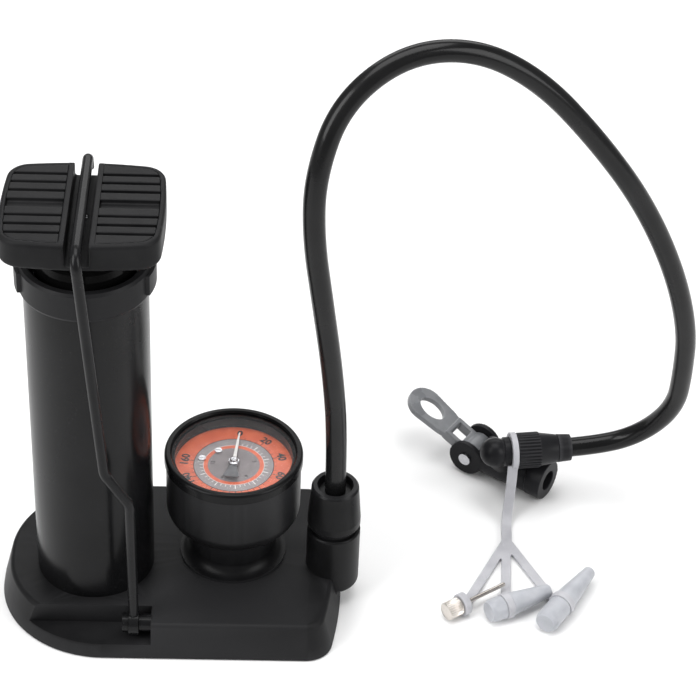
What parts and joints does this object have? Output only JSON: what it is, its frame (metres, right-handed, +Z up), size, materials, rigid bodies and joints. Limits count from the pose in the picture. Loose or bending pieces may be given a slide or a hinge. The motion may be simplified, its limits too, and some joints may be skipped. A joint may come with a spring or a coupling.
{
  "type": "mini foot pump",
  "caption": "Foot-operated mini pump: flat base, upright barrel with ribbed pedal held down by a wire bail, round pressure gauge, hose with levered valve head, strap with nozzles.",
  "frame": {"origin": "centre of the pump's box, without the hose and what is on it, on the floor", "axes": "+Z up along the barrel, +X along the base towards the hose end, -Y towards the foot"},
  "size_m": [0.287, 0.1493, 0.2598],
  "materials": {
    "base_plastic": "moulded, fine texture",
    "foot_rubber": "matt",
    "steel": "zinc plated",
    "inner_plastic": "moulded",
    "valve_rubber": "matt",
    "barrel_paint": "satin black",
    "collar_plastic": "moulded",
    "cap_gloss": "gloss black",
    "rod_chrome": "polished",
    "pedal_plastic": "moulded",
    "tread_rubber": "matt ribbed",
    "wire_paint": "satin black",
    "gauge_plastic": "moulded",
    "bezel_plastic": "satin",
    "lens": "clear",
    "dial_print": "printed orange and grey",
    "brass": "turned",
    "needle_paint": "dark, pale tip",
    "fitting_plastic": "satin black",
    "hose_rubber": "smooth satin",
    "head_plastic": "satin",
    "lever_plastic": "satin grey",
    "strap_plastic": "translucent white",
    "nozzle_plastic": "translucent white",
    "nickel": "nickel plated, knurled"
  },
  "bodies": {
    "pump": {"bail_screw": "wire_paint", "bail_spacer": "wire_paint", "ball_needle": "nickel", "barrel": "barrel_paint", "barrel_duct": "valve_rubber", "base_shell": "base_plastic", "bottom_plate": "base_plastic", "bourdon_tube": "brass", "check_spring": "steel", "collar": "collar_plastic", "dial_screw_set": "steel", "elbow_seal": "valve_rubber", "gauge_bezel": "bezel_plastic", "gauge_dial": "dial_print", "gauge_housing": "gauge_plastic", "gauge_lens": "lens", "gauge_neck": "gauge_plastic", "gauge_stem": "brass", "gauge_tee": "inner_plastic", "gland_cap": "cap_gloss", "gland_nut": "head_plastic", "head_body": "head_plastic", "head_cap": "head_plastic", "hose": "hose_rubber", "hose_duct": "valve_rubber", "hose_elbow": "fitting_plastic", "hose_ferrule": "head_plastic", "hose_nut": "fitting_plastic", "lever_pin": "steel", "long_nozzle": "nozzle_plastic", "movement_frame": "brass", "plate_screw_set": "steel", "return_spring": "steel", "rod_bush": "inner_plastic", "rubber_feet": "foot_rubber", "short_nozzle": "nozzle_plastic", "strap_tree": "strap_plastic", "valve_block": "inner_plastic", "valve_grommet": "valve_rubber", "valve_seat": "inner_plastic"},
    "plunger": {"piston_rod": "rod_chrome", "piston": "inner_plastic", "piston_seal": "valve_rubber", "pedal_body": "pedal_plastic", "left_tread": "tread_rubber", "right_tread": "tread_rubber", "pedal_screw": "steel"},
    "bail": {"bail_wire": "wire_paint"},
    "needle": {"needle_shaft": "brass", "gauge_needle": "needle_paint"},
    "sector": {"sector_gear": "brass"},
    "lever": {"head_lever": "lever_plastic"},
    "valve_plunger": {"head_plunger": "inner_plastic"},
    "check_valve": {"check_ball": "valve_rubber"}
  },
  "joints": [
    {"name": "pedal_slide", "type": "slide", "parent": "pump", "child": "plunger", "axis": [0, 0, 1], "range_m": [0, 0.076], "deforming": ["return_spring"]},
    {"name": "bail_swing", "type": "hinge", "parent": "pump", "child": "bail", "pos_m": [-0.0175, -0.0385, 0.013], "axis": [1, 0, 0], "range_deg": [0, 92]},
    {"name": "gauge_needle_turn", "type": "hinge", "parent": "pump", "child": "needle", "pos_m": [0.0215, 0.004, 0.063], "axis": [0, 0, -1], "range_deg": [0, 270], "stiffness_Nm_per_rad": 0.0004, "springref_deg": -17.19},
    {"name": "sector_turn", "type": "hinge", "parent": "pump", "child": "sector", "pos_m": [0.0351, 0.004, 0.049], "axis": [0, 0, 1], "range_deg": [0, 34]},
    {"name": "lever_turn", "type": "hinge", "parent": "pump", "child": "lever", "pos_m": [0.1275, 0.0793, 0.0092], "axis": [0.5592, 0.829, 0], "range_deg": [-20, 62]},
    {"name": "valve_plunger_slide", "type": "slide", "parent": "pump", "child": "valve_plunger", "axis": [0.829, -0.5592, 0], "range_m": [-0.0007, 0.0018]},
    {"name": "check_valve_lift", "type": "slide", "parent": "pump", "child": "check_valve", "axis": [0, 0, -1], "range_m": [0, 0.0008], "stiffness_N_per_m": 20, "springref_m": -0.0005, "deforming": ["check_spring"]}
  ],
  "couplings": [
    {"joint": "bail_swing", "follows": "pedal_slide", "rad_per_m": 21},
    {"joint": "sector_turn", "follows": "gauge_needle_turn", "ratio": 0.125},
    {"joint": "valve_plunger_slide", "follows": "lever_turn", "m_per_rad": 0.0015}
  ]
}
